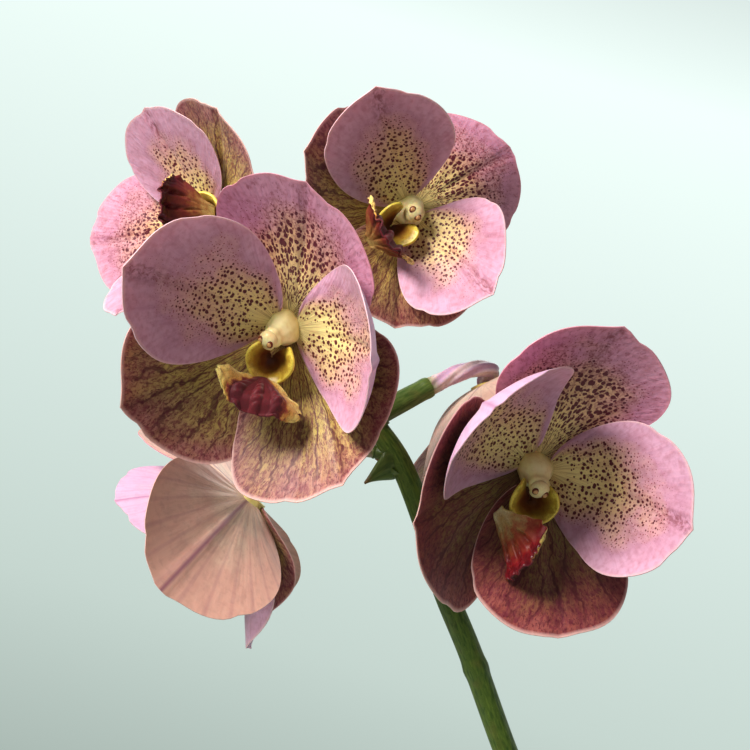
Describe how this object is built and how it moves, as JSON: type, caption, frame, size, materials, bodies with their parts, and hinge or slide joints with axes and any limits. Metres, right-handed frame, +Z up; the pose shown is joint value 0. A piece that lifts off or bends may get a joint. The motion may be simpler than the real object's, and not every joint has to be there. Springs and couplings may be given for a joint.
{
  "type": "potted vanda orchid",
  "caption": "Potted vanda orchid with strap leaves, aerial roots and an arching spike of spotted mauve and olive flowers, standing in a plain clay pot of bark.",
  "frame": {"origin": "middle of the pot's flat underside", "axes": "+Z up, +X to the right and -Y towards the viewer of the open flowers; the spike leans towards -X"},
  "size_m": [0.4582, 0.2121, 0.6397],
  "materials": {
    "clay": "matte",
    "bark": "matte",
    "stem": "satin",
    "root": "matte",
    "leaf": "satin",
    "spike": "satin",
    "petal": "satin",
    "sepal": "satin",
    "lip": "satin",
    "column": "satin"
  },
  "bodies": {
    "root": {"pot": "clay", "potting_bark": "bark", "stem": "stem", "root_1": "root", "root_2": "root", "root_3": "root", "root_4": "root", "leaf_1": "leaf", "leaf_2": "leaf", "leaf_3": "leaf", "leaf_4": "leaf", "leaf_5": "leaf", "leaf_6": "leaf", "leaf_7": "leaf", "leaf_8": "leaf", "leaf_9": "leaf", "leaf_10": "leaf", "flower_spike": "spike", "front_flower_dorsal_sepal": "sepal", "front_flower_left_petal": "petal", "front_flower_right_petal": "petal", "front_flower_left_sepal": "sepal", "front_flower_right_sepal": "sepal", "front_flower_lip": "lip", "front_flower_column": "column", "top_flower_dorsal_sepal": "sepal", "top_flower_left_petal": "petal", "top_flower_right_petal": "petal", "top_flower_left_sepal": "sepal", "top_flower_right_sepal": "sepal", "top_flower_lip": "lip", "top_flower_column": "column", "left_flower_dorsal_sepal": "sepal", "left_flower_left_petal": "petal", "left_flower_right_petal": "petal", "left_flower_left_sepal": "sepal", "left_flower_right_sepal": "sepal", "left_flower_lip": "lip", "left_flower_column": "column", "right_flower_dorsal_sepal": "sepal", "right_flower_left_petal": "petal", "right_flower_right_petal": "petal", "right_flower_left_sepal": "sepal", "right_flower_right_sepal": "sepal", "right_flower_lip": "lip", "right_flower_column": "column", "low_flower_dorsal_sepal": "sepal", "low_flower_left_petal": "petal", "low_flower_right_petal": "petal", "low_flower_left_sepal": "sepal", "low_flower_right_sepal": "sepal", "low_flower_lip": "lip", "low_flower_column": "column", "back_flower_dorsal_sepal": "sepal", "back_flower_left_petal": "petal", "back_flower_right_petal": "petal", "back_flower_left_sepal": "sepal", "back_flower_right_sepal": "sepal", "back_flower_lip": "lip", "back_flower_column": "column"}
  },
  "joints": []
}
